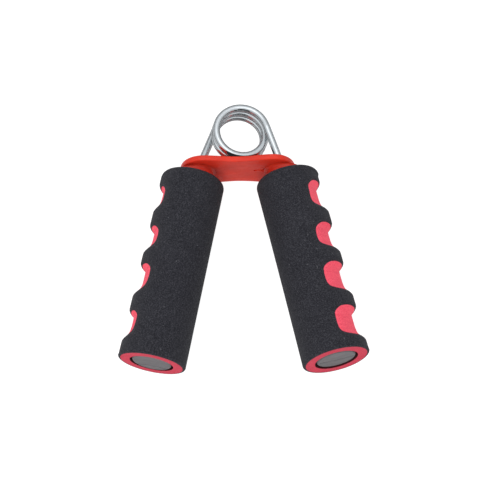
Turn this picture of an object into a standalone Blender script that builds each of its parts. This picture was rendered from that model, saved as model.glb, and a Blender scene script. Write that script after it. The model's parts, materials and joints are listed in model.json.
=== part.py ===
"""Hand grip strengthener: two foam-covered handles on a chromed torsion spring.

The grip lies flat on its two foam sleeves. +Z points up and is the direction of the
coil's axis, +Y points from the handles to the coil, +X to the right handle. The origin
is the middle of the grip's outline, on the surface that it lies on. Metres.

Every piece of a handle is made in that handle's own frame, whose origin is on the coil's
axis: local Z runs down the handle, local X points out of the grip.
"""
from math import asin, atan2, cos, hypot, pi, radians, sin, tan

import bmesh
import bpy
from mathutils import Matrix, Vector

# --- the whole grip --------------------------------------------------------------------
HANDLE_ANGLE = radians(12.4)    # each handle's lean from the middle, at rest
GRIP_OFFSET = 0.0165            # coil axis to grip axis, square to the grip
COIL_Y = 0.0514                 # coil axis, from the middle of the grip's outline
GAP = 0.0003                    # clearance between pieces that touch
PAST = 0.0020                   # how far a cutter reaches past what it cuts
ROUND_STEPS = 40                # facets round a turned piece
ARC_STEPS = 5                   # facets of a small rounding
SMOOTH_BELOW = radians(35)      # sharper edges than this stay sharp

# --- foam sleeves ----------------------------------------------------------------------
FOAM_R = 0.0150
FOAM_TOP = 0.0266               # stations are measured from the coil axis down the handle
FOAM_END = 0.1197
FOAM_SKIN = 0.00125             # black layer, laminated over the red one
FOAM_TOP_ROUND = 0.0030
FOAM_END_ROUND = 0.0006
FOAM_LIP_R = 0.0120             # where the black layer stops on the top face
CORE_R = 0.0094

GROOVES = 4
GROOVE_FIRST = 0.0344           # station of the first groove's upper edge
GROOVE_PITCH = 0.0213
GROOVE_FLOOR_R = FOAM_R - 0.0032
GROOVE_STEEP = 0.0018           # length of the wall on the coil's side
GROOVE_FLOOR = 0.0086
GROOVE_RAMP = 0.0026            # length of the gentler wall on the other side
GRIND_HALF_ANGLE = radians(60)
GRIND_STEPS = 12
GRIND_ROLL = {"left": radians(14), "right": radians(12)}    # how far each sleeve sits turned

# --- hard pieces of a handle -----------------------------------------------------------
CORE_TOP = 0.0285
CORE_END = 0.1165
CORE_BORE_R = 0.0076
LEG_HOLE_R = 0.0021
TOP_WEB = 0.0100                # solid length round the leg under the collar
END_WEB_TOP = 0.0940            # the web that holds the leg's lower end
END_WEB_BOTTOM = 0.1040
COLLAR_R = 0.0086
COLLAR_CROWN = 0.0200           # blank height before it is cut level
COLLAR_HOLE_R = 0.0023          # the hole widens upwards, because the leg comes in askew
COLLAR_MOUTH_R = 0.0043
PLUG_FACE = 0.1192              # station of the end plug's outer face
PLUG_SPIGOT = 0.0070
PLUG_RIM = 0.0004

# --- spring ----------------------------------------------------------------------------
WIRE_R = 0.00175
COIL_R = 0.0119                 # to the middle of the wire
COIL_PITCH = 0.0048
COIL_X = 0.0004                 # the coil sits a little to the right of the hinge's axis
COIL_LEAN = radians(9.7)        # and leans over, which brings both legs towards the middle
FULL_TURNS = 2
ELBOW = 0.0276                  # station where a leg bends into line with its grip
LEG_END = 0.1020
KNEE_RUN = 0.0020               # wire that still follows the coil's slope
KNEE_ROUND = 0.0060
ELBOW_ROUND = 0.0100
COIL_STEP = radians(10)
BEND_STEPS = 4
WIRE_SIDES = 3                  # bevel resolution of the wire

# --- bridge plate ----------------------------------------------------------------------
PLATE_TOP = 0.0162              # below the coil axis
PLATE_THICKNESS = 0.0028
PLATE_END_X = 0.0166            # middle of each rounded end
PLATE_END_RUN = 0.0103          # from there to the tip
PLATE_END_HALF = 0.0133         # half width there
PLATE_WAIST = 0.0114            # half width in the middle
PLATE_X = -0.0010               # it sits loose on the legs, a little to the left
PLATE_ROUND = 0.0005
PLATE_STEPS = 8                 # facets of a quarter of a rounded end
PLATE_BEND = radians(50)        # edges sharper than this are rounded
SLOT_IN_X = 0.0146              # middles of a slot's two round ends
SLOT_OUT_X = 0.0208
SLOT_R = 0.0027
SLOT_Z = 0.0011                 # each leg still leans to its own side where it passes
SLOT_STEPS = 8                  # facets of a slot's round end
WAIST_STEPS = 4

SIDES = {"left": -1, "right": 1}
UPRIGHT = Matrix.Translation((0, COIL_Y, FOAM_R))
COIL_FRAME = Matrix.Translation((COIL_X, 0, 0)) @ Matrix.Rotation(COIL_LEAN, 4, "Y")


def clear_scene():
    for thing in list(bpy.data.objects):
        bpy.data.objects.remove(thing, do_unlink=True)


def material(name, colour, roughness, metallic=0.0):
    """One Principled material; the colour is linear RGB."""
    made = bpy.data.materials.new(name)
    made.use_nodes = True
    shader = made.node_tree.nodes["Principled BSDF"]
    shader.inputs["Base Color"].default_value = (*colour, 1.0)
    shader.inputs["Roughness"].default_value = roughness
    shader.inputs["Metallic"].default_value = metallic
    made.diffuse_color = (*colour, 1.0)
    return made


def chrome():
    return material("chromed_wire", (0.80, 0.82, 0.84), 0.10, 1.0)


def red_plastic():
    return material("red_plastic", (0.62, 0.045, 0.035), 0.30)


def grey_plastic():
    return material("grey_plastic", (0.13, 0.12, 0.13), 0.45)


def red_foam():
    return material("red_foam", (0.80, 0.10, 0.14), 0.90)


def black_foam():
    return material("black_foam", (0.030, 0.030, 0.036), 0.92)


def empty(name, matrix):
    """A frame on the coil's axis that a body's pieces hang from."""
    made = bpy.data.objects.new(name, None)
    made.empty_display_size = 0.02
    made.matrix_world = matrix
    bpy.context.collection.objects.link(made)
    return made


def handle_frame(side):
    """Local X points out of the grip, local Z down the handle."""
    sign = SIDES[side]
    out = Vector((sign * cos(HANDLE_ANGLE), sin(HANDLE_ANGLE), 0))
    down = Vector((sign * sin(HANDLE_ANGLE), -cos(HANDLE_ANGLE), 0))
    turn = Matrix((out, down.cross(out), down)).transposed().to_4x4()
    return UPRIGHT @ turn


def finish_mesh(name, bm, parent, look, location=(0, 0, 0)):
    """Put a finished bmesh in the scene under its parent frame."""
    bmesh.ops.remove_doubles(bm, verts=bm.verts, dist=1e-6)
    bmesh.ops.recalc_face_normals(bm, faces=bm.faces)
    mesh = bpy.data.meshes.new(name)
    bm.to_mesh(mesh)
    bm.free()
    mesh.shade_smooth()
    mesh.set_sharp_from_angle(angle=SMOOTH_BELOW)
    mesh.materials.append(look)
    made = bpy.data.objects.new(name, mesh)
    made.parent = parent
    made.location = location
    bpy.context.collection.objects.link(made)
    return made


def arc(centre, radius, first, last):
    """Points of an arc in the radius-station plane, both ends included."""
    angles = [first + (last - first) * k / ARC_STEPS for k in range(ARC_STEPS + 1)]
    return [(centre[0] + radius * cos(a), centre[1] - radius * sin(a)) for a in angles]


def spin_profile(points, angle=2 * pi, start=0.0, steps=ROUND_STEPS):
    """A solid turned from a closed outline of (radius, station) points about local Z."""
    bm = bmesh.new()
    ring = [bm.verts.new((r * cos(start), r * sin(start), s)) for r, s in points]
    whole = angle == 2 * pi
    if whole:
        outline = [bm.edges.new(pair) for pair in zip(ring, ring[1:] + ring[:1])]
    else:
        outline = [bm.faces.new(ring)]
    bmesh.ops.spin(bm, geom=ring + outline if whole else outline, cent=(0, 0, 0),
                   axis=(0, 0, 1), angle=angle, steps=steps, use_merge=whole)
    return bm


def turned_piece(name, points, parent, look):
    bm = spin_profile(points)
    return finish_mesh(name, bm, parent, look, (GRIP_OFFSET, 0, 0))


def cut(target, cutter):
    """Take the cutter's shape out of the target; the cutter stays as a hidden guide."""
    cutter.display_type = "WIRE"
    cutter.hide_render = True
    step = target.modifiers.new(cutter.name, "BOOLEAN")
    step.operation = "DIFFERENCE"
    step.solver = "EXACT"
    step.object = cutter


def grip_cutter(side, parent):
    """A ring sector with a tooth on its inside for each groove."""
    clear = FOAM_R + GAP
    past = FOAM_R + PAST
    profile = [(past, GROOVE_FIRST - PAST)]
    for k in range(GROOVES):
        top = GROOVE_FIRST + GROOVE_PITCH * k
        floor = top + GROOVE_STEEP
        ramp = floor + GROOVE_FLOOR
        profile += [(clear, top), (GROOVE_FLOOR_R, floor), (GROOVE_FLOOR_R, ramp),
                    (clear, ramp + GROOVE_RAMP)]
    profile.append((past, profile[-1][1] + PAST))
    start = GRIND_ROLL[side] - GRIND_HALF_ANGLE
    bm = spin_profile(profile, 2 * GRIND_HALF_ANGLE, start, GRIND_STEPS)
    return finish_mesh(f"grip_cutter_{side}", bm, parent, grey_plastic(), (GRIP_OFFSET, 0, 0))


def black_layer(side, parent):
    """The outer foam layer, wrapped over the sleeve's rounded top edge."""
    corner = (FOAM_R - FOAM_TOP_ROUND, FOAM_TOP + FOAM_TOP_ROUND)
    inner = FOAM_R - FOAM_SKIN
    points = arc(corner, FOAM_TOP_ROUND, pi / 2, 0)
    points += [(FOAM_R, FOAM_END - FOAM_END_ROUND), (FOAM_R - FOAM_END_ROUND, FOAM_END)]
    points += [(inner, FOAM_END)]
    points += arc(corner, FOAM_TOP_ROUND - FOAM_SKIN, 0, pi / 2)
    return turned_piece(f"foam_black_{side}", points, parent, black_foam())


def red_layer(side, parent):
    """The inner foam layer, pushed over the core, with a rabbet for the black layer's lip."""
    corner = (FOAM_R - FOAM_TOP_ROUND, FOAM_TOP + FOAM_TOP_ROUND)
    under_skin = FOAM_TOP_ROUND - FOAM_SKIN - GAP
    outer = FOAM_R - FOAM_SKIN - GAP
    bore = CORE_R + GAP
    top_rim = FOAM_LIP_R - GAP
    points = [(bore, FOAM_TOP), (top_rim, FOAM_TOP), (top_rim, corner[1] - under_skin)]
    points += arc(corner, under_skin, pi / 2, 0)
    points += [(outer, FOAM_END), (bore, FOAM_END)]
    return turned_piece(f"foam_red_{side}", points, parent, red_foam())


def foam_sleeve(side, parent):
    cutter = grip_cutter(side, parent)
    cut(black_layer(side, parent), cutter)
    cut(red_layer(side, parent), cutter)


def core_tube(side, parent):
    """The moulded core: a tube with a web at the top and one low down to hold the leg."""
    points = [(LEG_HOLE_R, CORE_TOP), (CORE_R, CORE_TOP), (CORE_R, CORE_END),
              (CORE_BORE_R, CORE_END), (CORE_BORE_R, END_WEB_BOTTOM),
              (LEG_HOLE_R, END_WEB_BOTTOM), (LEG_HOLE_R, END_WEB_TOP),
              (CORE_BORE_R, END_WEB_TOP), (CORE_BORE_R, CORE_TOP + TOP_WEB),
              (LEG_HOLE_R, CORE_TOP + TOP_WEB)]
    return turned_piece(f"core_tube_{side}", points, parent, grey_plastic())


def end_plug(side, parent):
    """A disc that closes the core's open end, with a spigot inside it."""
    spigot_r = CORE_BORE_R - GAP
    points = [(0, CORE_END - PLUG_SPIGOT), (spigot_r, CORE_END - PLUG_SPIGOT),
              (spigot_r, CORE_END + GAP), (CORE_R, CORE_END + GAP),
              (CORE_R, PLUG_FACE - PLUG_RIM), (CORE_R - PLUG_RIM, PLUG_FACE), (0, PLUG_FACE)]
    return turned_piece(f"end_plug_{side}", points, parent, grey_plastic())


def collar(side, parent):
    """The red collar on the core's top, cut off level under the bridge plate."""
    base = CORE_TOP - GAP
    points = [(COLLAR_MOUTH_R, COLLAR_CROWN), (COLLAR_R, COLLAR_CROWN), (COLLAR_R, base),
              (COLLAR_HOLE_R, base)]
    bm = spin_profile(points)
    to_local = parent.matrix_world.inverted()
    under_plate = UPRIGHT @ Vector((0, -PLATE_TOP - PLATE_THICKNESS - GAP, 0))
    level = to_local @ under_plate - Vector((GRIP_OFFSET, 0, 0))
    up = to_local.to_3x3() @ Vector((0, 1, 0))
    sliced = bmesh.ops.bisect_plane(bm, geom=bm.verts[:] + bm.edges[:] + bm.faces[:],
                                    plane_co=level, plane_no=up, clear_outer=True)
    rim = [edge for edge in sliced["geom_cut"] if isinstance(edge, bmesh.types.BMEdge)]
    bmesh.ops.bridge_loops(bm, edges=rim)
    return finish_mesh(f"collar_{side}", bm, parent, red_plastic(), (GRIP_OFFSET, 0, 0))


def rounded_path(corners, radii):
    """A route through the corners, with each inner corner replaced by an arc."""
    route = [corners[0]]
    for before, corner, after, radius in zip(corners, corners[1:], corners[2:], radii):
        to_before = (before - corner).normalized()
        to_after = (after - corner).normalized()
        half = to_before.angle(to_after) / 2
        centre = corner + (to_before + to_after).normalized() * (radius / sin(half))
        first = corner + to_before * (radius / tan(half)) - centre
        last = corner + to_after * (radius / tan(half)) - centre
        for k in range(BEND_STEPS + 1):
            route.append(centre + first.slerp(last, k / BEND_STEPS) * radius)
    route.append(corners[-1])
    return route


def wire(name, route, parent, look):
    """Round wire along a route of points in the parent's frame."""
    curve = bpy.data.curves.new(name, "CURVE")
    curve.dimensions = "3D"
    curve.bevel_depth = WIRE_R
    curve.bevel_resolution = WIRE_SIDES
    curve.use_fill_caps = True
    spline = curve.splines.new("POLY")
    spline.points.add(len(route) - 1)
    for point, place in zip(spline.points, route):
        point.co = (*place, 1.0)
    spline.use_smooth = True
    curve.materials.append(look)
    made = bpy.data.objects.new(name, curve)
    made.parent = parent
    bpy.context.collection.objects.link(made)
    return made


def leg_angle(side):
    """How far round the coil from its X axis the side's leg runs off as a tangent."""
    to_coil = (UPRIGHT @ COIL_FRAME).inverted()
    elbow = to_coil @ handle_frame(side) @ Vector((GRIP_OFFSET, 0, ELBOW))
    towards = atan2(SIDES[side] * elbow.x, -elbow.y)
    return towards - asin(COIL_R / hypot(elbow.x, elbow.y))


COIL_START = leg_angle("right")
COIL_SWEEP = 2 * pi * FULL_TURNS + pi - COIL_START - leg_angle("left")
COIL_HALF = COIL_PITCH * COIL_SWEEP / (4 * pi)


def coil_point(turned):
    """A point of the coil in the upright frame, by the angle from the right leg."""
    at = COIL_START + turned
    height = COIL_HALF - COIL_PITCH * turned / (2 * pi)
    return COIL_FRAME @ Vector((COIL_R * cos(at), COIL_R * sin(at), height))


def coil_heading(turned):
    """The direction in which the wire runs there, away from the right leg."""
    at = COIL_START + turned
    along = Vector((-sin(at), cos(at), -COIL_PITCH / (2 * pi * COIL_R)))
    return COIL_FRAME.to_3x3() @ along.normalized()


def spring_coil(parent, look):
    trim = GAP / COIL_R
    steps = round(COIL_SWEEP / COIL_STEP)
    angles = [trim + (COIL_SWEEP - 2 * trim) * k / steps for k in range(steps + 1)]
    return wire("spring_coil", [coil_point(angle) for angle in angles], parent, look)


def spring_leg(side, parent, look):
    """From the coil's end past the knee and the elbow down inside the core."""
    turned = 0.0 if side == "right" else COIL_SWEEP
    start = coil_point(turned)
    knee = start - SIDES[side] * coil_heading(turned) * KNEE_RUN
    to_local = parent.matrix_world.inverted() @ UPRIGHT
    elbow = Vector((GRIP_OFFSET, 0, ELBOW))
    end = Vector((GRIP_OFFSET, 0, LEG_END))
    corners = [to_local @ start, to_local @ knee, elbow, end]
    return wire(f"spring_leg_{side}", rounded_path(corners, (KNEE_ROUND, ELBOW_ROUND)),
                parent, look)


def plate_outline():
    """A quarter of the dog-bone outline in X-Z, from the right tip round to the middle."""
    turns = [pi / 2 * k / PLATE_STEPS for k in range(PLATE_STEPS + 1)]
    end = [(PLATE_END_X + PLATE_END_RUN * cos(a), PLATE_END_HALF * sin(a)) for a in turns]
    dip = (PLATE_END_HALF - PLATE_WAIST) / 2
    shares = [k / WAIST_STEPS for k in range(1, WAIST_STEPS + 1)]
    return end + [(PLATE_END_X * (1 - t), PLATE_END_HALF - dip * (1 - cos(pi * t)))
                  for t in shares]


def extruded(name, outline, bottom, top, parent, look, bevel=0.0):
    """A flat piece: an X-Z outline between two heights along Y of the plate's frame."""
    bm = bmesh.new()
    face = bm.faces.new([bm.verts.new((x, bottom, z)) for x, z in outline])
    pushed = bmesh.ops.extrude_face_region(bm, geom=[face])
    moved = [v for v in pushed["geom"] if isinstance(v, bmesh.types.BMVert)]
    bmesh.ops.translate(bm, verts=moved, vec=(0, top - bottom, 0))
    made = finish_mesh(name, bm, parent, look, (PLATE_X, 0, 0))
    if bevel:
        rim = made.modifiers.new("rim", "BEVEL")
        rim.width = bevel
        rim.segments = 2
        rim.limit_method = "ANGLE"
        rim.angle_limit = PLATE_BEND
    return made


def slot_outline(sign):
    """A straight slot with round ends, wide enough for a leg's whole travel."""
    turns = [pi * k / SLOT_STEPS for k in range(SLOT_STEPS + 1)]
    outer = [(SLOT_OUT_X + SLOT_R * sin(a), SLOT_R * cos(a)) for a in turns]
    inner = [(SLOT_IN_X - SLOT_R * sin(a), -SLOT_R * cos(a)) for a in turns]
    return [(sign * x, sign * (SLOT_Z + z)) for x, z in outer + inner]


def bridge_plate(parent):
    """The dog-bone plate that both legs pass through, between coil and handles."""
    look = red_plastic()
    quarter = plate_outline()
    half = quarter + [(-x, z) for x, z in reversed(quarter[:-1])]
    outline = half + [(x, -z) for x, z in reversed(half[1:-1])]
    bottom = -PLATE_TOP - PLATE_THICKNESS
    plate = extruded("bridge_plate", outline, bottom, -PLATE_TOP, parent, look, PLATE_ROUND)
    for side, sign in SIDES.items():
        cutter = extruded(f"slot_cutter_{side}", slot_outline(sign), bottom - PAST,
                          PAST - PLATE_TOP, parent, look)
        cut(plate, cutter)
    return plate


def main():
    clear_scene()
    upright = empty("coil_axis", UPRIGHT)
    bpy.context.view_layer.update()
    wire_look = chrome()
    spring_coil(upright, wire_look)
    bridge_plate(upright)
    for side in SIDES:
        frame = empty(f"squeeze_axis_{side}", handle_frame(side))
        bpy.context.view_layer.update()
        spring_leg(side, frame, wire_look)
        collar(side, frame)
        core_tube(side, frame)
        end_plug(side, frame)
        foam_sleeve(side, frame)


main()
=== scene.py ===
import json
from math import asin, atan2, cos, hypot, pi, radians, sin, tan

import bmesh
import bpy
import numpy as np
from mathutils import Matrix, Vector


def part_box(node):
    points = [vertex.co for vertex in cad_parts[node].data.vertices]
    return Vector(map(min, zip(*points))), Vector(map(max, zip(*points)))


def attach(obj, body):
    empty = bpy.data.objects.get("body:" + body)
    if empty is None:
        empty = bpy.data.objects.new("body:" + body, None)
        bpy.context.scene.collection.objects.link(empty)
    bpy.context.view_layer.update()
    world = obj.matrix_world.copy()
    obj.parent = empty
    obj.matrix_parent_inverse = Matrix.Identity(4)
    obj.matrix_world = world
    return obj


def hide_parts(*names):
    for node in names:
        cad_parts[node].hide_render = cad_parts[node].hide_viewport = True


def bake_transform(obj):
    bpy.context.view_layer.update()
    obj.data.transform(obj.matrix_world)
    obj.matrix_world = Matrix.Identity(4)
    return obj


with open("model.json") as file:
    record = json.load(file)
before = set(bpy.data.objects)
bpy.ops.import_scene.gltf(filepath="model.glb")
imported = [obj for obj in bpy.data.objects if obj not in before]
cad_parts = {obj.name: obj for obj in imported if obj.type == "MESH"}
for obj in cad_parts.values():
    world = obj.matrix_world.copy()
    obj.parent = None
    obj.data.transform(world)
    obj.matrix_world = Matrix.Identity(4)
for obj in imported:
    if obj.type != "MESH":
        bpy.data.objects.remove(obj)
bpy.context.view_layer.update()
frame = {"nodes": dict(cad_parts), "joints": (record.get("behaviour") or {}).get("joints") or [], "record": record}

SIDES = {"left": -1, "right": 1}
BODY = {"left": "left_handle", "right": "right_handle"}
MM = 0.001

# --- what the frame says -------------------------------------------------------------------
HINGE = Vector(next(j for j in frame["joints"] if j["name"] == "squeeze")["pos_m"])
MOUNTS = {m["name"]: m for m in frame["record"]["mounts"]}
UPRIGHT = Matrix.Translation(HINGE)     # level, with its origin on the hinge


def handle_frame(side):
    """The handle's own frame, from the end plug's mount."""
    down = Vector(MOUNTS[f"end_face_{side}"]["axis"]).normalized()
    out = Vector((0, 0, SIDES[side])).cross(down)
    return UPRIGHT @ Matrix((out, down.cross(out), down)).transposed().to_4x4()


FRAMES = {side: handle_frame(side) for side in SIDES}
PLUG_SPOT = FRAMES["right"].inverted() @ Vector(MOUNTS["end_face_right"]["pos_m"])
GRIP_OFFSET = PLUG_SPOT.x       # coil axis to grip axis
MOUNT_AT = PLUG_SPOT.z


def turned_size(node, side):
    """First and last station of a CAD node, and its largest radius round the grip's axis."""
    to_local = FRAMES[side].inverted()
    places = [to_local @ v.co for v in frame["nodes"][node].data.vertices]
    stations = [p.z for p in places]
    return min(stations), max(stations), max(hypot(p.x - GRIP_OFFSET, p.y) for p in places)


FOAM_TOP, FOAM_END, FOAM_R = turned_size("foam_black_right", "right")
PLUG_TOP, _, CORE_R = turned_size("end_plug_right", "right")
COLLAR_BASE, COLLAR_R = turned_size("collar_right", "right")[1:]
PLATE_LOW, PLATE_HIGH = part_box("bridge_plate")
PLATE_X = (PLATE_LOW.x + PLATE_HIGH.x) / 2

# --- spring, as in the CAD model -----------------------------------------------------------
WIRE_R = 0.00175
COIL_R = 0.0119                 # to the middle of the wire
COIL_PITCH = 0.0048
COIL_X = 0.0004                 # how far the coil stands to the right of the hinge
COIL_LEAN = radians(9.7)
FULL_TURNS = 2                  # besides the part turn from leg to leg
ELBOW = 0.0276                  # station where a leg turns to run down its core
LEG_END = 0.1020
KNEE_RUN = 0.0020               # straight wire between the coil's end and the knee
KNEE_ROUND = 0.0060             # bend radii
ELBOW_ROUND = 0.0100
COIL_STEPS = 240
WIRE_SIDES = 32
BEND_STEPS = 16

# --- foam sleeves --------------------------------------------------------------------------
SKIN = 0.00125                  # black layer
LAMINATE_GAP = 0.00003          # between the two layers, too small to see
TOP_ROUND = 0.0030
END_ROUND = 0.0011
END_TILT = {"left": 0.046, "right": -0.022}     # neither end is cut quite square
TILT_RUN = 0.006                # how far up the sleeve the tilt reaches
BORE_GAP = 0.0006               # between the core and the red foam
BORE_ROUND = 0.0001
CUT_FACING = 0.9                # faces turned further to the end than this are the cut ends, and get the darker copy of the foam: painted shade
FLARE = 0.00065                 # the foam swells a little towards its end
FLARE_POWER = {"left": 1.2, "right": 2.0}
LIES_AT = 0.0001                # lowest height of the foam, pressed flat on the table
COLUMNS = 116                   # points round the sleeve
TOP_STEPS = 10                  # facets of the rounded top
UNDER_STEPS = 8                 # and of the seam under it
EDGE_STEPS = 5                  # facets of a small rounding
ROW_STEP = 0.0006               # distance between rows, along the ground profile
PROFILE_STEP = 0.0001
CLIP_SNAP = 0.00001             # the layer is never thinner than this at a grid corner
FOAM_CREASE = radians(50)
# each groove's upper and lower wall, at half its depth, in mm along the handle
GROOVE_WALLS = {"left": ((35.0, 46.2), (55.8, 67.3), (75.2, 88.6), (98.3, 110.8)),
                "right": ((34.5, 47.8), (56.5, 68.6), (76.7, 90.3), (98.7, 112.6))}
GROOVE_DEPTH = {"left": (2.75, 3.10, 3.30, 3.05), "right": (3.20, 3.25, 3.25, 3.45)}
GROOVE_WIDTH = {"left": (0.84, 0.99, 1.03, 0.98), "right": (0.81, 0.94, 1.02, 0.99)}
# share of the depth by distance from the middle of the wall, in mm
UPPER_WALL = ((-1.9, 0.0), (-1.2, 0.1), (-0.4, 0.3), (0.6, 0.79), (1.6, 0.94), (2.8, 1.0))
LOWER_WALL = ((-5.5, 1.0), (-3.6, 0.95), (-2.3, 0.87), (-1.3, 0.75), (-0.3, 0.53), (0.7, 0.25),
              (1.7, 0.06), (3.0, 0.0))
CORNER_PULL = 0.16              # how much narrower a groove is along its upper wall
CORNER_RUN = 0.0016             # and how far from the wall that fades out
GRIND_FULL = radians(24)        # half angle that is ground to the full depth
GRIND_FADE = radians(69)        # and over which it then fades out
GRIND_RIDGE = 0.0002            # between the grooves
GRIND_TOP = {"left": 0.0, "right": 0.0005}      # above the first groove
GRIND_BLUR = 0.00025            # softens the profile's corners
BLUR_REACH = 10                 # profile steps to each side
GRIND_ROLL = {"left": (radians(11), radians(17)), "right": (radians(6), radians(15))}

# --- hard pieces ---------------------------------------------------------------------------
PLUG_RIM = 0.0008
PLUG_RIM_STEPS = 6
PLUG_COLUMNS = 96
PLUG_RINGS = 44                 # across the face, so that the seam shows in the mesh
PLUG_THICK = 0.0024
PLUG_INSET = 0.0003
PLUG_OUT = 0.0003               # the disc stands this much further out than the mount
PLUG_R = CORE_R - PLUG_INSET
PLUG_STEP = 0.0004              # innermost ring of the plug's faces
PLUG_FACE = MOUNT_AT + PLUG_OUT
PLUG_SHOULDER = MOUNT_AT - PLUG_THICK
SPIGOT_R = 0.0073
PLUG_DISH = 0.00015
PLUG_FLAT = 1e-7                # points this close to the face belong to it
SEAM_DEPTH = 0.00030            # the seam that the mould left across the plug
SEAM_WIDTH = 0.00020
SEAM_BOW = 0.0012
SEAM_OFF = {"left": 0.0041, "right": -0.0012}
COLLAR_CROWN = 0.0200
COLLAR_HOLE_R = 0.0023
COLLAR_MOUTH_R = 0.0043
COLLAR_GAP = 0.00015
COLLAR_STEP = 0.0002
COLLAR_FLARE = 0.0012           # radius of the fillet under the plate
FLARE_SHARE = 1.3               # it fades out towards the grip side of the collar
COLLAR_COLUMNS = 96
PLATE_END_X = 0.0166            # middle of each rounded end
PLATE_END_RUN = 0.0103          # from there to the tip
PLATE_END_HALF = 0.0133         # half width there
PLATE_WAIST = 0.0114            # half width in the middle
PLATE_EDGE = 0.0007             # rounding of its edges
PLATE_EDGE_STEPS = 5
PLATE_BEND = radians(50)        # edges sharper than this are rounded
PLATE_CREASE = radians(30)
ARC_STEPS = 24                  # facets of each rounded end and each slot end
WAIST_STEPS = 16
CUT_PAST = 0.0020               # how far a cutter reaches past what it cuts
SLOT_IN_X = 0.0146
SLOT_OUT_X = 0.0208
SLOT_R = 0.0027
SLOT_Z = 0.0011
MARK_X = 0.0092                 # the gate mark in the plate's underside
MARK_Z = 0.0012
MARK_BEND = 0.0040
MARK_HALF_ANGLE = radians(38)
MARK_R = 0.00085
MARK_STEPS = 16
MARK_SIDES = 12

# --- colours of the red foam ---------------------------------------------------------------
RED_SHADES = ((0.72, 0.050, 0.088), (0.98, 0.122, 0.176))
GROUND_TONE = (1.0, 1.0, 1.0)
END_SHADE_TONE = (0.60, 0.42, 0.50)   # painted shade: the cut end faces are darkened, standing in for the dimmer light that reaches them
BORE_SHADE_TONE = (0.05, 0.05, 0.05)  # painted shade: the bore's mouth is darkened almost to black, standing in for the shade inside it

# --- studio --------------------------------------------------------------------------------
# the camera that the handles' edges and end rings were seen from, with the hinge as origin
CAMERA_OFF = (-0.005844, -0.372681, 0.774216)
CAMERA_TURN = (0.385080, -0.003652, -0.022011)
CAMERA_LENS = 129.94
LIGHTS = (("key", (-0.25, 0.20, 1.15), (1.5, 1.1), 4.4),
          ("fill", (-0.15, -0.75, 0.75), (0.5, 0.4), 4.0))
# the sky's brightness by the sine of the height above the horizon
SKY = ((0.0, 0.60), (0.45, 0.66), (0.72, 0.72), (0.90, 0.95), (0.97, 1.40), (1.0, 1.60))
TABLE_HALF = 3.0
TABLE_AT = -0.0002              # heights of the table and of the card on it
CARD_AT = -0.0001
CARD_R = 0.5                    # the grey card that the gloss reflects
CARD_GREY = 0.52
SHEET_SIDES = 48                # of the round card and cloth
FLAG_R = 1.3                    # the dark cloth that gives the chrome its lines
FLAG_LOW = 0.02
FLAG_HIGH = 0.50
PLATE_FLAG = ((-0.009, 0.0005), (0.015, 0.0005))      # a dark sheet just above the plate that only the gloss sees: painted shade in the coil's reflection of the plate, which keeps the plate's red off the coil
FRONT_FLAG = ((-0.55, -1.2, 0.05), (0.55, -1.2, 0.05), (0.55, -1.2, 0.95), (-0.55, -1.2, 0.95))


# --- mesh helpers --------------------------------------------------------------------------
def add_piece(name, mesh, body, look, replaces=(), placed=None, smooth=radians(35)):
    """Shade a finished mesh, put it in the scene and hang it on its body."""
    mesh.shade_smooth()
    mesh.set_sharp_from_angle(angle=smooth)
    mesh.materials.append(look)
    piece = bpy.data.objects.new(name, mesh)
    if placed is not None:
        piece.matrix_world = placed
    bpy.context.scene.collection.objects.link(piece)
    if body:
        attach(piece, body)
    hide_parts(*replaces)
    return piece


def mesh_from(name, points, faces):
    mesh = bpy.data.meshes.new(name)
    mesh.from_pydata([tuple(map(float, p)) for p in points], [], faces)
    mesh.validate()
    return mesh


def mesh_from_bmesh(name, bm):
    bmesh.ops.recalc_face_normals(bm, faces=bm.faces)
    mesh = bpy.data.meshes.new(name)
    bm.to_mesh(mesh)
    bm.free()
    return mesh


def ring_grid(rows, columns, closed_rows=False):
    """Quads of a grid that closes round its columns, and optionally round its rows."""
    last = rows if closed_rows else rows - 1
    quads = []
    for i in range(last):
        below = (i + 1) % rows
        for j in range(columns):
            k = (j + 1) % columns
            quads.append((i * columns + j, i * columns + k,
                          below * columns + k, below * columns + j))
    return quads


def smooth_ramp(t):
    t = np.clip(t, 0.0, 1.0)
    return t * t * (3 - 2 * t)


# --- spring --------------------------------------------------------------------------------
COIL_FRAME = Matrix.Translation((COIL_X, 0, 0)) @ Matrix.Rotation(COIL_LEAN, 4, "Y")


def leg_angle(side):
    """How far round the coil from its X axis the side's leg runs off as a tangent."""
    elbow = (UPRIGHT @ COIL_FRAME).inverted() @ FRAMES[side] @ Vector((GRIP_OFFSET, 0, ELBOW))
    towards = atan2(SIDES[side] * elbow.x, -elbow.y)
    return towards - asin(COIL_R / hypot(elbow.x, elbow.y))


COIL_START = leg_angle("right")
COIL_SWEEP = 2 * pi * FULL_TURNS + pi - COIL_START - leg_angle("left")
COIL_HALF = COIL_PITCH * COIL_SWEEP / (4 * pi)


def coil_point(turned):
    at = COIL_START + turned
    height = COIL_HALF - COIL_PITCH * turned / (2 * pi)
    return UPRIGHT @ COIL_FRAME @ Vector((COIL_R * cos(at), COIL_R * sin(at), height))


def coil_heading(turned):
    at = COIL_START + turned
    along = Vector((-sin(at), cos(at), -COIL_PITCH / (2 * pi * COIL_R)))
    return COIL_FRAME.to_3x3() @ along.normalized()


def rounded_path(corners, radii):
    """A route through the corners, with each inner corner replaced by an arc."""
    route = [corners[0]]
    for before, corner, after, radius in zip(corners, corners[1:], corners[2:], radii):
        to_before = (before - corner).normalized()
        to_after = (after - corner).normalized()
        half = to_before.angle(to_after) / 2
        centre = corner + (to_before + to_after).normalized() * (radius / sin(half))
        first = corner + to_before * (radius / tan(half)) - centre
        last = corner + to_after * (radius / tan(half)) - centre
        route += [centre + first.slerp(last, k / BEND_STEPS) * radius
                  for k in range(BEND_STEPS + 1)]
    route.append(corners[-1])
    return route


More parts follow.
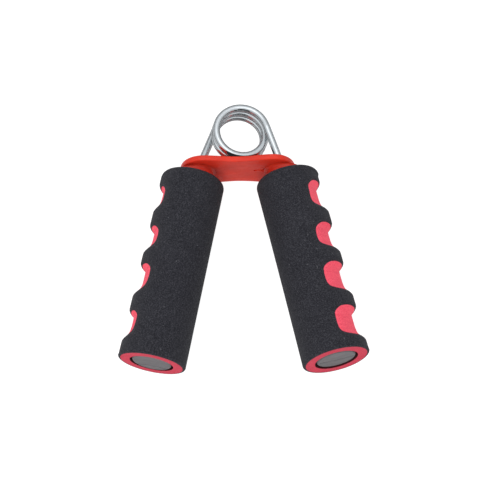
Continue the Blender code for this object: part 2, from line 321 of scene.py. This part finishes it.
def tube_mesh(name, route, heading, radius=WIRE_R, sides=WIRE_SIDES):
    """A round wire along the route, its rings carried along without twist."""
    rings = []
    normal = heading.orthogonal().normalized()
    for k, place in enumerate(route):
        before, after = route[max(k - 1, 0)], route[min(k + 1, len(route) - 1)]
        along = heading if k == 0 else (after - before).normalized()
        normal = (normal - along * normal.dot(along)).normalized()
        side = along.cross(normal)
        for n in range(sides):
            turn = 2 * pi * n / sides
            rings.append(place + (normal * cos(turn) + side * sin(turn)) * radius)
    faces = ring_grid(len(route), sides)
    last = (len(route) - 1) * sides
    faces.append(tuple(reversed(range(sides))))
    faces.append(tuple(range(last, last + sides)))
    return mesh_from(name, rings, faces)


def make_coil(look):
    angles = [COIL_SWEEP * k / COIL_STEPS for k in range(COIL_STEPS + 1)]
    mesh = tube_mesh("spring_coil_wire", [coil_point(a) for a in angles], coil_heading(0))
    piece = add_piece("coil_wire", mesh, None, look, ["spring_coil"])
    ends = [coil_point(COIL_SWEEP).z + WIRE_R, coil_point(0).z - WIRE_R]
    start, end = (Vector((HINGE.x, HINGE.y, z)) for z in ends)
    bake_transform(piece)
    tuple(start)
    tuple(end)


def make_leg(side, look):
    """From the coil's end past the knee and the elbow down inside the core."""
    turned = 0.0 if side == "right" else COIL_SWEEP
    start = coil_point(turned)
    heading = coil_heading(turned) * -SIDES[side]
    elbow, end = (FRAMES[side] @ Vector((GRIP_OFFSET, 0, s)) for s in (ELBOW, LEG_END))
    corners = [start, start + heading * KNEE_RUN, elbow, end]
    route = rounded_path(corners, (KNEE_ROUND, ELBOW_ROUND))
    mesh = tube_mesh(f"leg_wire_{side}", route, heading)
    add_piece(f"leg_wire_{side}", mesh, BODY[side], look,
              [f"spring_leg_{side}"])


# --- foam sleeves --------------------------------------------------------------------------
def along_grip(side, stations):
    """Ground depth along the middle of the grip side, and how wide the grinding is there."""
    fine = np.arange(FOAM_TOP, FOAM_END, PROFILE_STEP)
    walls = np.array(GROOVE_WALLS[side])
    depth = np.full(len(fine), GRIND_RIDGE)
    depth[fine < walls[0, 0] * MM] = GRIND_TOP[side]
    for (upper, lower), deepest in zip(walls, GROOVE_DEPTH[side]):
        down = np.interp(fine / MM - upper, *np.array(UPPER_WALL).T)
        up = np.interp(fine / MM - lower, *np.array(LOWER_WALL).T)
        depth = np.maximum(depth, np.minimum(down, up) * deepest * MM)
    reach = np.arange(-BLUR_REACH, BLUR_REACH + 1)
    kernel = np.exp(-0.5 * (reach * PROFILE_STEP / GRIND_BLUR) ** 2)
    padded = np.pad(depth, BLUR_REACH, mode="edge")
    depth = np.convolve(padded, kernel / kernel.sum(), mode="valid")
    width = np.interp(stations, walls.mean(axis=1) * MM, GROOVE_WIDTH[side])
    for upper in walls[:, 0] * MM:
        width -= CORNER_PULL * np.exp(-0.5 * ((stations - upper) / CORNER_RUN) ** 2)
    return np.interp(stations, fine, depth), width


def ground_depth(side, stations, angles):
    """How much foam is ground away at each station (rows) and angle (columns)."""
    deep, wide = along_grip(side, stations)
    first, last = GRIND_ROLL[side]
    roll = first + (last - first) * (stations - FOAM_TOP) / (FOAM_END - FOAM_TOP)
    off = np.abs((angles[None, :] - roll[:, None] + pi) % (2 * pi) - pi) / wide[:, None]
    return deep[:, None] * (1 - smooth_ramp((off - GRIND_FULL) / GRIND_FADE))


def full_radius(side, stations):
    """The unground sleeve's radius, as a column."""
    share = (stations - FOAM_TOP) / (FOAM_END - FOAM_TOP)
    return (FOAM_R + FLARE * share ** FLARE_POWER[side])[:, None]


def cut_askew(side, points):
    """Slide the points near the end along the handle to where the tilted cut runs."""
    share = smooth_ramp((points[:, 2] - FOAM_END + TILT_RUN) / TILT_RUN)
    points[:, 2] += points[:, 1] * SIDES[side] * END_TILT[side] * share
    return points


def rest_on_table(side, points):
    """Flatten what would reach below the table; local Y is up on the right, down on the left."""
    lowest = (LIES_AT - HINGE.z) * SIDES[side]
    y = points[:, 1]
    points[:, 1] = np.maximum(y, lowest) if side == "right" else np.minimum(y, lowest)
    return points


def sleeve_rows(side):
    """Stations between the top rounding and the end, closer together on steep walls."""
    fine = np.arange(FOAM_TOP + TOP_ROUND, FOAM_END - END_ROUND, PROFILE_STEP)
    deep = along_grip(side, fine)[0]
    run = np.concatenate([[0], np.cumsum(np.hypot(np.diff(fine), np.diff(deep)))])
    count = int(run[-1] / ROW_STEP)
    return np.interp(np.linspace(0, run[-1], count + 1), run, fine)


def arc_rows(centre, radius, first, last, steps):
    turns = np.linspace(first, last, steps + 1)
    return centre[0] + radius * np.cos(turns), centre[1] - radius * np.sin(turns)


def lofted(radii, stations, angles):
    """Points round the grip, in the handle's frame, for radii by row, or by row and column."""
    x = GRIP_OFFSET + radii * np.cos(angles)[None, :]
    y = radii * np.sin(angles)[None, :]
    z = np.repeat(stations[:, None], len(angles), axis=1)
    return np.stack([x, y, z], axis=2).reshape(-1, 3)


def clip_triangle(corners, values, crossing):
    """The part of a triangle where the values are positive, as corner keys."""
    kept = []
    for k in range(3):
        n = (k + 1) % 3
        if values[k] > 0:
            kept.append(corners[k])
        if (values[k] > 0) != (values[n] > 0):
            kept.append(crossing(corners[k], corners[n]))
    return kept


def clipped_layer(left, outer, inner):
    """Both skins of a layer, cut off where the thickness that is left runs out."""
    points = list(outer) + list(inner)
    under = len(outer)
    crossings = {}

    def crossing(a, b):
        """One shared point where the layer thins to nothing between two grid corners."""
        key = (min(a, b), max(a, b))
        if key not in crossings:
            low, high = left.flat[key[0]], left.flat[key[1]]
            share = low / (low - high)
            points.append(inner[key[0]] * (1 - share) + inner[key[1]] * share)
            crossings[key] = len(points) - 1
        return crossings[key]

    faces = []
    for quad in ring_grid(len(left), COLUMNS):
        values = [left.flat[q] for q in quad]
        if min(values) > 0:
            faces.append(quad)
            faces.append(tuple(under + q for q in reversed(quad)))
        elif max(values) > 0:
            for pick in ((0, 1, 2), (0, 2, 3)):
                kept = clip_triangle([quad[k] for k in pick], [values[k] for k in pick],
                                     crossing)
                if len(kept) > 2:
                    faces.append(tuple(kept))
                    faces.append(tuple(under + q if q < under else q for q in reversed(kept)))
    return points, faces


def edge_rings(end_radius):
    """Radii and stations of the rings that join the skins, round the top and the end."""
    corner = (FOAM_R - TOP_ROUND, FOAM_TOP + TOP_ROUND)
    top_r, top_s = arc_rows(corner, TOP_ROUND, 0, pi / 2, TOP_STEPS)
    back_r, back_s = arc_rows(corner, TOP_ROUND - SKIN, pi / 2, 0, UNDER_STEPS)
    end_corner = (end_radius - END_ROUND, FOAM_END - END_ROUND)
    end_r, end_s = arc_rows(end_corner, END_ROUND, 0, -pi / 2, EDGE_STEPS)
    cap = (np.append(top_r[1:], back_r[:-1]), np.append(top_s[1:], back_s[:-1]))
    tail = (np.append(end_r[1:], end_radius - SKIN), np.append(end_s[1:], FOAM_END))
    return cap, tail


def joining_faces(row_starts, flip):
    """Quads between rings of points that start at these indices."""
    quads = []
    for above, below in zip(row_starts, row_starts[1:]):
        for j in range(COLUMNS):
            k = (j + 1) % COLUMNS
            quad = (above + j, above + k, below + k, below + j)
            quads.append(tuple(reversed(quad)) if flip else quad)
    return quads


def black_sleeve(side, look):
    """The outer layer: a shell that ends where the grinding goes through it."""
    angles = np.linspace(0, 2 * pi, COLUMNS, endpoint=False)
    straight = sleeve_rows(side)
    depth = ground_depth(side, straight, angles)
    radius = full_radius(side, straight)
    left = SKIN - depth
    left[np.abs(left) < CLIP_SNAP] = CLIP_SNAP
    outer = rest_on_table(side, lofted(radius - depth, straight, angles))
    inner = lofted(radius - SKIN, straight, angles)
    under = len(outer)
    points, faces = clipped_layer(left, outer, inner)
    cap, tail = edge_rings(radius[-1, 0])
    for (ring_r, ring_s), row, flip in ((cap, 0, True), (tail, len(straight) - 1, False)):
        first = len(points)
        points += list(rest_on_table(side, lofted(ring_r[:, None], ring_s, angles)))
        starts = [first + k * COLUMNS for k in range(len(ring_r))]
        faces += joining_faces([row * COLUMNS] + starts + [under + row * COLUMNS], flip)
    used = sorted({v for face in faces for v in face})
    place = {v: n for n, v in enumerate(used)}
    kept_points = cut_askew(side, np.array([points[v] for v in used]))
    mesh = mesh_from(f"black_foam_{side}", kept_points,
                     [tuple(place[v] for v in face) for face in faces])
    piece = add_piece(f"black_sleeve_{side}", mesh, BODY[side], look,
                      [f"foam_black_{side}"], FRAMES[side], FOAM_CREASE)


def red_sleeve(side, ground, shaded_end, bore_shade):
    """The inner layer, flush with the ground surface where the black one is gone."""
    angles = np.linspace(0, 2 * pi, COLUMNS, endpoint=False)
    straight = sleeve_rows(side)
    radius = full_radius(side, straight)
    middle = radius - np.maximum(ground_depth(side, straight, angles), SKIN + LAMINATE_GAP)
    corner = (FOAM_R - TOP_ROUND, FOAM_TOP + TOP_ROUND)
    bore = CORE_R + BORE_GAP
    under_skin = TOP_ROUND - SKIN - LAMINATE_GAP
    top_r, top_s = arc_rows(corner, under_skin, pi / 2, 0, UNDER_STEPS)
    mouth = (bore + BORE_ROUND, FOAM_END - BORE_ROUND)
    mouth_r, mouth_s = arc_rows(mouth, BORE_ROUND, -pi / 2, -pi, EDGE_STEPS)
    head_r = np.append([bore, bore + BORE_ROUND], top_r[:-1])
    head_s = np.append([FOAM_TOP + BORE_ROUND, FOAM_TOP], top_s[:-1])
    tail_r = np.append(radius[-1, 0] - SKIN - LAMINATE_GAP, mouth_r)
    tail_s = np.append(FOAM_END, mouth_s)
    head, tail = (np.repeat(r[:, None], COLUMNS, axis=1) for r in (head_r, tail_r))
    radii = np.concatenate([head, middle, tail])
    stations = np.concatenate([head_s, straight, tail_s])
    faces = ring_grid(len(stations), COLUMNS, closed_rows=True)
    points = cut_askew(side, lofted(radii, stations, angles))
    mesh = mesh_from(f"red_foam_{side}", points, faces)
    piece = add_piece(f"red_sleeve_{side}", mesh, BODY[side], ground,
                      [f"foam_red_{side}"], FRAMES[side], FOAM_CREASE)
    mesh.materials.append(shaded_end)
    mesh.materials.append(bore_shade)
    for face in mesh.polygons:
        spot = face.center
        # painted shade: the end faces get the darker copy of the foam
        if face.normal.z > CUT_FACING:
            face.material_index = 1
        # painted shade: the bore's mouth gets the near-black copy of the foam
        elif hypot(spot.x - GRIP_OFFSET, spot.y) < bore + BORE_ROUND:
            face.material_index = 2


# --- hard pieces ---------------------------------------------------------------------------
def turned_rings(profile, columns):
    """A closed body turned from a closed (radius, station) outline clear of the axis."""
    radii, stations = np.array(profile).T
    angles = np.linspace(0, 2 * pi, columns, endpoint=False)
    points = lofted(radii[:, None], stations, angles)
    return points, ring_grid(len(radii), columns, closed_rows=True)


def end_plug(side, look):
    """A disc with a rounded rim, a slight dish and the faint seam of its mould."""
    columns = PLUG_COLUMNS
    angles = np.linspace(0, 2 * pi, columns, endpoint=False)
    rim_r, rim_s = arc_rows((PLUG_R - PLUG_RIM, PLUG_FACE - PLUG_RIM), PLUG_RIM, 0, -pi / 2,
                            PLUG_RIM_STEPS)
    face_r = np.linspace(PLUG_R - PLUG_RIM, PLUG_STEP, PLUG_RINGS + 1)[1:]
    radii = np.concatenate([[PLUG_STEP, SPIGOT_R, SPIGOT_R, PLUG_R], rim_r, face_r])
    stations = np.concatenate([[PLUG_TOP, PLUG_TOP, PLUG_SHOULDER, PLUG_SHOULDER], rim_s,
                               np.full(len(face_r), PLUG_FACE)])
    points = lofted(radii[:, None], stations, angles)
    flat = points[:, 2] > PLUG_FACE - PLUG_FLAT
    x, y = points[:, 0] - GRIP_OFFSET, points[:, 1]
    reach = np.hypot(x, y) / PLUG_R
    seam_y = y - SEAM_OFF[side] - SEAM_BOW * (x / PLUG_R) ** 2
    seam = SEAM_DEPTH * np.exp(-0.5 * (seam_y / SEAM_WIDTH) ** 2)
    points[:, 2] -= np.where(flat, PLUG_DISH * (1 - reach ** 2) + seam, 0)
    faces = ring_grid(len(radii), columns)
    for row, backwards in ((0, False), (len(radii) - 1, True)):
        middle = len(points)
        first = row * columns
        centre = points[first:first + columns].mean(axis=0)
        points = np.vstack([points, centre])
        for j in range(columns):
            k = (j + 1) % columns
            fan = (first + k, first + j, middle)
            faces.append(tuple(reversed(fan)) if backwards else fan)
    mesh = mesh_from(f"plug_{side}", points, faces)
    add_piece(f"plug_{side}", mesh, BODY[side], look,
              [f"end_plug_{side}"], FRAMES[side])


def flare(bm, level, up):
    """Widen a collar into a fillet under the plate; each point keeps its height."""
    for vert in bm.verts:
        away = Vector((vert.co.x - GRIP_OFFSET, vert.co.y, 0))
        below = min(abs((vert.co - level).dot(up)), COLLAR_FLARE)
        if away.length > (COLLAR_R + COLLAR_MOUTH_R) / 2:
            out = COLLAR_FLARE - (COLLAR_FLARE ** 2 - (COLLAR_FLARE - below) ** 2) ** 0.5
            inward = (1 - away.normalized().x) / 2
            slide = away.normalized() * out * min(1.0, inward * FLARE_SHARE)
            vert.co += slide - up * (slide.dot(up) / up.dot(up))


def collar(side, look):
    """The collar on the core's top, cut off level and flared a little under the plate."""
    wall = [(COLLAR_R, s) for s in np.arange(COLLAR_CROWN, COLLAR_BASE, COLLAR_STEP)]
    points, faces = turned_rings([(COLLAR_MOUTH_R, COLLAR_CROWN)] + wall
                                 + [(COLLAR_R, COLLAR_BASE), (COLLAR_HOLE_R, COLLAR_BASE)],
                                 COLLAR_COLUMNS)
    bm = bmesh.new()
    bm.from_mesh(mesh_from("collar", points, faces))
    level = FRAMES[side].inverted() @ Vector((0, PLATE_LOW.y - COLLAR_GAP, HINGE.z))
    up = FRAMES[side].to_3x3().inverted() @ Vector((0, 1, 0))
    sliced = bmesh.ops.bisect_plane(bm, geom=bm.verts[:] + bm.edges[:] + bm.faces[:],
                                    plane_co=level, plane_no=up, clear_outer=True)
    rim = [edge for edge in sliced["geom_cut"] if isinstance(edge, bmesh.types.BMEdge)]
    bmesh.ops.bridge_loops(bm, edges=rim)
    flare(bm, level, up)
    mesh = mesh_from_bmesh(f"collar_{side}", bm)
    add_piece(f"collar_cut_{side}", mesh, BODY[side], look,
              [f"collar_{side}"], FRAMES[side])


def plate_outline():
    """The dog-bone outline in X-Z, anticlockwise from the right tip."""
    turns = np.linspace(0, pi / 2, ARC_STEPS + 1)
    end = [(PLATE_END_X + PLATE_END_RUN * cos(a), PLATE_END_HALF * sin(a)) for a in turns]
    dip = (PLATE_END_HALF - PLATE_WAIST) / 2
    waist = [(PLATE_END_X * (1 - t), PLATE_END_HALF - dip * (1 - cos(pi * t)))
             for t in np.linspace(0, 1, WAIST_STEPS + 1)[1:]]
    quarter = end + waist
    half = quarter + [(-x, z) for x, z in reversed(quarter[:-1])]
    return half + [(x, -z) for x, z in reversed(half[1:-1])]


def slot_outline(sign):
    turns = np.linspace(0, pi, ARC_STEPS + 1)
    outer = [(SLOT_OUT_X + SLOT_R * sin(a), SLOT_R * cos(a)) for a in turns]
    inner = [(SLOT_IN_X - SLOT_R * sin(a), -SLOT_R * cos(a)) for a in turns]
    return [(sign * x, sign * (SLOT_Z + z)) for x, z in outer + inner]


def flat_solid(name, outline, bottom, top):
    """An object extruded between two heights along Y from an X-Z outline."""
    bm = bmesh.new()
    face = bm.faces.new([bm.verts.new((x, bottom, z)) for x, z in outline])
    pushed = bmesh.ops.extrude_face_region(bm, geom=[face])
    moved = [v for v in pushed["geom"] if isinstance(v, bmesh.types.BMVert)]
    bmesh.ops.translate(bm, verts=moved, vec=(0, top - bottom, 0))
    made = bpy.data.objects.new(name, mesh_from_bmesh(name, bm))
    bpy.context.scene.collection.objects.link(made)
    return made


def gate_mark(name):
    """The shape of the small curved mark that the mould leaves in the plate's underside."""
    turns = np.linspace(-MARK_HALF_ANGLE, MARK_HALF_ANGLE, MARK_STEPS + 1)
    centre = Vector((MARK_X, PLATE_LOW.y, HINGE.z + MARK_Z - MARK_BEND))
    route = [centre + Vector((MARK_BEND * sin(a), 0, MARK_BEND * cos(a))) for a in turns]
    heading = (route[1] - route[0]).normalized()
    mesh = tube_mesh(name, route, heading, MARK_R, MARK_SIDES)
    made = bpy.data.objects.new(name, mesh)
    bpy.context.scene.collection.objects.link(made)
    return made


def bridge_plate(look):
    """The glossy plate, with rounded edges round its outline and its slots."""
    outline = [(PLATE_X + x, HINGE.z + z) for x, z in plate_outline()]
    plate = flat_solid("plate_blank", outline, PLATE_LOW.y, PLATE_HIGH.y)
    cutters = []
    for side, sign in SIDES.items():
        slot = [(PLATE_X + x, HINGE.z + z) for x, z in slot_outline(sign)]
        cutters.append(flat_solid(f"slot_{side}", slot, PLATE_LOW.y - CUT_PAST,
                                  PLATE_HIGH.y + CUT_PAST))
    for cutter in cutters:
        step = plate.modifiers.new(cutter.name, "BOOLEAN")
        step.operation = "DIFFERENCE"
        step.object = cutter
    rim = plate.modifiers.new("rim", "BEVEL")
    rim.width = PLATE_EDGE
    rim.segments = PLATE_EDGE_STEPS
    rim.limit_method = "ANGLE"
    rim.angle_limit = PLATE_BEND
    mark = gate_mark("gate_mark")
    step = plate.modifiers.new("mark", "BOOLEAN")
    step.operation = "DIFFERENCE"
    step.object = mark
    bpy.context.view_layer.update()
    shown = plate.evaluated_get(bpy.context.evaluated_depsgraph_get())
    mesh = bpy.data.meshes.new_from_object(shown)
    for scrap in [plate, mark] + cutters:
        bpy.data.objects.remove(scrap, do_unlink=True)
    add_piece("plate", mesh, "bridge", look, ["bridge_plate"],
              smooth=PLATE_CREASE)


# --- materials -----------------------------------------------------------------------------
class Nodes:
    """A short way to write a material's node tree."""

    def __init__(self, name):
        self.material = bpy.data.materials.new(name)
        self.material.use_nodes = True
        self.tree = self.material.node_tree
        self.shader = self.tree.nodes["Principled BSDF"]
        self.coordinates = self.add("ShaderNodeTexCoord")

    def add(self, kind, **values):
        node = self.tree.nodes.new(kind)
        for key, value in values.items():
            if hasattr(node, key):
                setattr(node, key, value)
            else:
                node.inputs[key.replace("_", " ").title()].default_value = value
        return node

    def link(self, source, target):
        self.tree.links.new(source, target)

    def noise(self, scale, detail=2.0, roughness=0.5, stretch=None):
        """Noise over the object; the scale is features per metre."""
        node = self.add("ShaderNodeTexNoise", scale=scale, detail=detail, roughness=roughness)
        source = self.coordinates.outputs["Object"]
        if stretch:
            mapping = self.add("ShaderNodeMapping")
            mapping.inputs["Scale"].default_value = stretch
            self.link(source, mapping.inputs["Vector"])
            source = mapping.outputs["Vector"]
        self.link(source, node.inputs["Vector"])
        return node.outputs["Fac"]

    def pores(self, scale):
        node = self.add("ShaderNodeTexVoronoi", scale=scale)
        self.link(self.coordinates.outputs["Object"], node.inputs["Vector"])
        return node

    def ramp(self, source, *stops):
        """Colour (or grey) stops, each a place and a linear RGB or a number."""
        node = self.add("ShaderNodeValToRGB")
        elements = node.color_ramp.elements
        while len(elements) < len(stops):
            elements.new(0.5)
        for element, (place, colour) in zip(elements, stops):
            rgb = colour if isinstance(colour, tuple) else (colour,) * 3
            element.position = place
            element.color = (*rgb, 1.0)
        self.link(source, node.inputs["Fac"])
        return node.outputs["Color"]

    def mix(self, share, first, second):
        """Two colours mixed; each of the three is a socket or a plain value."""
        node = self.add("ShaderNodeMix", data_type="RGBA")
        for value, target in zip((share, first, second), (0, 6, 7)):
            if isinstance(value, bpy.types.NodeSocket):
                self.link(value, node.inputs[target])
            else:
                node.inputs[target].default_value = value if target == 0 else (*value, 1.0)
        return node.outputs[2]

    def bump(self, source, distance, strength=1.0, under=None):
        node = self.add("ShaderNodeBump")
        node.inputs["Distance"].default_value = distance
        node.inputs["Strength"].default_value = strength
        self.link(source, node.inputs["Height"])
        if under is not None:
            self.link(under, node.inputs["Normal"])
        return node.outputs["Normal"]

    def surface(self, colour=None, roughness=None, normal=None, **values):
        """Sockets are linked, plain numbers and colours are set on the shader."""
        for name, value in (("Base Color", colour), ("Roughness", roughness),
                            ("Normal", normal)):
            if isinstance(value, bpy.types.NodeSocket):
                self.link(value, self.shader.inputs[name])
            elif value is not None:
                self.shader.inputs[name].default_value = value
        for name, value in values.items():
            self.shader.inputs[name.replace("_", " ")].default_value = value
        return self.material


def chrome():
    """Bright plating with faint drawing lines, and a trace of haze."""
    make = Nodes("chrome_plating")
    haze = make.noise(900, 4.0, 0.6)
    colour = make.ramp(haze, (0.3, (0.66, 0.69, 0.70)), (0.7, (0.80, 0.83, 0.84)))
    roughness = make.ramp(make.noise(2500, 3.0, 0.6), (0.3, 0.06), (0.75, 0.12))
    normal = make.bump(make.noise(1600, 3.0, 0.5), 0.000004)
    return make.surface(colour, roughness, normal, Metallic=1.0,
                        Specular_Tint=(0.28, 0.29, 0.30, 1.0))


def red_plastic():
    """Moulded and glossy, with slow flow marks and a fine wave in the gloss."""
    make = Nodes("glossy_red_plastic")
    flow = make.noise(90, 4.0, 0.55, stretch=(1.0, 1.0, 2.5))
    colour = make.ramp(flow, (0.3, (0.57, 0.028, 0.013)), (0.7, (0.69, 0.038, 0.018)))
    roughness = make.ramp(make.noise(700, 4.0, 0.6), (0.3, 0.30), (0.7, 0.42))
    fine = make.bump(make.noise(3500, 2.0, 0.5), 0.00001)
    normal = make.bump(make.noise(160, 2.0, 0.5), 0.00008, under=fine)
    return make.surface(colour, roughness, normal, Specular_IOR_Level=0.25,
                        Subsurface_Weight=0.12, Subsurface_Scale=0.0012)


def grey_plastic():
    """Satin, lightly scuffed."""
    make = Nodes("satin_grey_plastic")
    cloud = make.noise(260, 5.0, 0.6)
    scuff = make.noise(900, 3.0, 0.5, stretch=(0.15, 1.6, 1.0))
    colour = make.ramp(cloud, (0.3, (0.092, 0.088, 0.092)), (0.7, (0.122, 0.117, 0.121)))
    marked = make.mix(make.ramp(scuff, (0.62, 0.0), (0.75, 0.35)), colour, (0.21, 0.205, 0.21))
    roughness = make.ramp(scuff, (0.35, 0.50), (0.7, 0.36))
    normal = make.bump(make.noise(5200, 2.0, 0.5), 0.000012)
    return make.surface(marked, roughness, normal)


def black_foam():
    """Closed-cell foam, ground smooth: fine cut cells, cloudy tone, a few pale specks."""
    make = Nodes("black_foam_skin")
    cells = make.pores(2200)
    grain = make.noise(1900, 5.0, 0.75)
    cloud = make.noise(120, 3.0, 0.6)
    base = make.ramp(grain, (0.34, (0.004, 0.004, 0.006)), (0.50, (0.016, 0.0157, 0.021)),
                     (0.66, (0.058, 0.057, 0.066)))
    toned = make.mix(0.18, base, make.ramp(cloud, (0.3, (0.009, 0.009, 0.012)),
                                           (0.7, (0.030, 0.0295, 0.035))))
    speck = make.ramp(make.noise(900, 1.0, 0.3), (0.76, 0.0), (0.81, 0.5))
    colour = make.mix(speck, toned, (0.13, 0.13, 0.14))
    fine = make.bump(cells.outputs["Distance"], 0.00008, 0.7)
    normal = make.bump(grain, 0.00016, 0.8, under=fine)
    roughness = make.ramp(grain, (0.3, 0.96), (0.7, 0.80))
    return make.surface(colour, roughness, normal, Specular_IOR_Level=0.3,
                        Sheen_Weight=0.02, Sheen_Roughness=0.6)


def red_foam(name, tone):
    """The same foam in red, with the marks that the grinding leaves round the handle."""
    make = Nodes(name)
    grain = make.noise(2200, 5.0, 0.75)
    ground = make.noise(420, 3.0, 0.6, stretch=(0.25, 0.25, 2.2))
    # a tone below one makes a darker copy of the foam: painted shade on the end faces and in the bore
    shades = [tuple(t * c for t, c in zip(tone, shade)) for shade in RED_SHADES]
    base = make.ramp(grain, (0.38, shades[0]), (0.62, shades[1]))
    colour = make.mix(0.30, base, make.ramp(ground, (0.3, shades[0]), (0.7, shades[1])))
    fine = make.bump(make.pores(2600).outputs["Distance"], 0.00006, 0.6)
    rings = make.bump(ground, 0.00010, 0.5, under=fine)
    normal = make.bump(grain, 0.00012, 0.7, under=rings)
    roughness = make.ramp(grain, (0.3, 0.95), (0.7, 0.82))
    return make.surface(colour, roughness, normal, Specular_IOR_Level=0.3,
                        Subsurface_Weight=0.05, Subsurface_Scale=0.0006)


# --- studio --------------------------------------------------------------------------------
def reflected_only(name, points, faces, darkest, lightest):
    """A sheet of cloth or card that only shows in the gloss of the chrome and plastics."""
    mesh = mesh_from(name, points, faces)
    sheet = bpy.data.objects.new(name, mesh)
    bpy.context.scene.collection.objects.link(sheet)
    make = Nodes(name)
    tone = make.ramp(make.noise(8), (0.3, darkest), (0.7, lightest))
    mesh.materials.append(make.surface(tone, 0.9))
    for kind in ("camera", "diffuse", "shadow", "transmission", "volume_scatter"):
        setattr(sheet, f"visible_{kind}", False)


def white_table():
    """Bright enough to show no edge of its own."""
    half = TABLE_HALF
    corners = [(-half, -half, 0), (half, -half, 0), (half, half, 0), (-half, half, 0)]
    floor_mesh = mesh_from("table_top", corners, [(0, 1, 2, 3)])
    floor = bpy.data.objects.new("table_top", floor_mesh)
    floor.location.z = TABLE_AT
    bpy.context.scene.collection.objects.link(floor)
    make = Nodes("white_table")
    tone = make.ramp(make.noise(3, 2.0), (0.3, 0.28), (0.7, 0.30))
    floor_mesh.materials.append(make.surface(tone, 0.8, Emission_Color=(1, 1, 1, 1),
                                             Emission_Strength=0.88))


def reflected_sheets():
    """What the gloss sees round the object: dark cloths, a grey card, and a dark sheet over the plate that paints
    shade into the coil's reflection of it.
    """
    turns = np.linspace(0, 2 * pi, SHEET_SIDES, endpoint=False)
    rim = [(FLAG_R * cos(a), FLAG_R * sin(a), z) for z in (FLAG_LOW, FLAG_HIGH) for a in turns]
    reflected_only("dark_flag", rim, ring_grid(2, len(turns)), 0.10, 0.14)
    reflected_only("front_flag", FRONT_FLAG, [(0, 1, 2, 3)], 0.02, 0.04)
    # painted shade: a dark sheet over the plate's top, seen only in reflections
    veil = [(x, PLATE_HIGH.y + gap, z) for z in (PLATE_LOW.z, PLATE_HIGH.z)
            for x, gap in PLATE_FLAG]
    reflected_only("plate_flag", veil, [(0, 1, 3, 2)], 0.02, 0.04)
    disc = [(CARD_R * cos(a), CARD_R * sin(a), CARD_AT) for a in turns]
    reflected_only("grey_card", disc, [tuple(range(len(disc)))], CARD_GREY, CARD_GREY + 0.04)


def soft_sky():
    """A sky that is brighter overhead."""
    world = bpy.data.worlds.new("studio")
    world.use_nodes = True
    tree = world.node_tree
    towards = tree.nodes.new("ShaderNodeTexCoord").outputs["Generated"]
    split = tree.nodes.new("ShaderNodeSeparateXYZ")
    sky = tree.nodes.new("ShaderNodeValToRGB")
    while len(sky.color_ramp.elements) < len(SKY):
        sky.color_ramp.elements.new(0.5)
    for element, (height, bright) in zip(sky.color_ramp.elements, SKY):
        element.position = height
        element.color = (0.94 * bright, 0.965 * bright, bright, 1.0)
    tree.links.new(towards, split.inputs[0])
    tree.links.new(split.outputs["Z"], sky.inputs["Fac"])
    tree.links.new(sky.outputs["Color"], tree.nodes["Background"].inputs["Color"])
    bpy.context.scene.world = world


def soft_lights():
    for name, place, size, power in LIGHTS:
        light = bpy.data.lights.new(name, "AREA")
        light.shape = "RECTANGLE"
        light.size, light.size_y = size
        light.energy = power
        lamp = bpy.data.objects.new(name, light)
        lamp.location = place
        lamp.rotation_euler = (HINGE - Vector(place)).to_track_quat("-Z", "Y").to_euler()
        lamp.visible_glossy = False
        bpy.context.scene.collection.objects.link(lamp)


def camera():
    data = bpy.data.cameras.new("camera")
    data.lens = CAMERA_LENS
    data.clip_start = 0.01
    made = bpy.data.objects.new("camera", data)
    made.location = HINGE + Vector(CAMERA_OFF)
    made.rotation_euler = CAMERA_TURN
    bpy.context.scene.collection.objects.link(made)
    bpy.context.scene.camera = made


# --- the scene -----------------------------------------------------------------------------
camera()
white_table()
reflected_sheets()
soft_sky()
soft_lights()
bpy.context.scene.view_settings.view_transform = "Standard"
CHROME, RED_PLASTIC, GREY_PLASTIC = chrome(), red_plastic(), grey_plastic()
BLACK_FOAM = black_foam()
RED_FOAMS = (red_foam("red_foam_ground", GROUND_TONE), red_foam("red_foam_end_shade", END_SHADE_TONE),
             red_foam("red_foam_bore_shade", BORE_SHADE_TONE))
make_coil(CHROME)
bridge_plate(RED_PLASTIC)
for each in SIDES:
    make_leg(each, CHROME)
    collar(each, RED_PLASTIC)
    end_plug(each, GREY_PLASTIC)
    red_sleeve(each, *RED_FOAMS)
    black_sleeve(each, BLACK_FOAM)
    frame["nodes"][f"core_tube_{each}"].data.materials[0] = GREY_PLASTIC
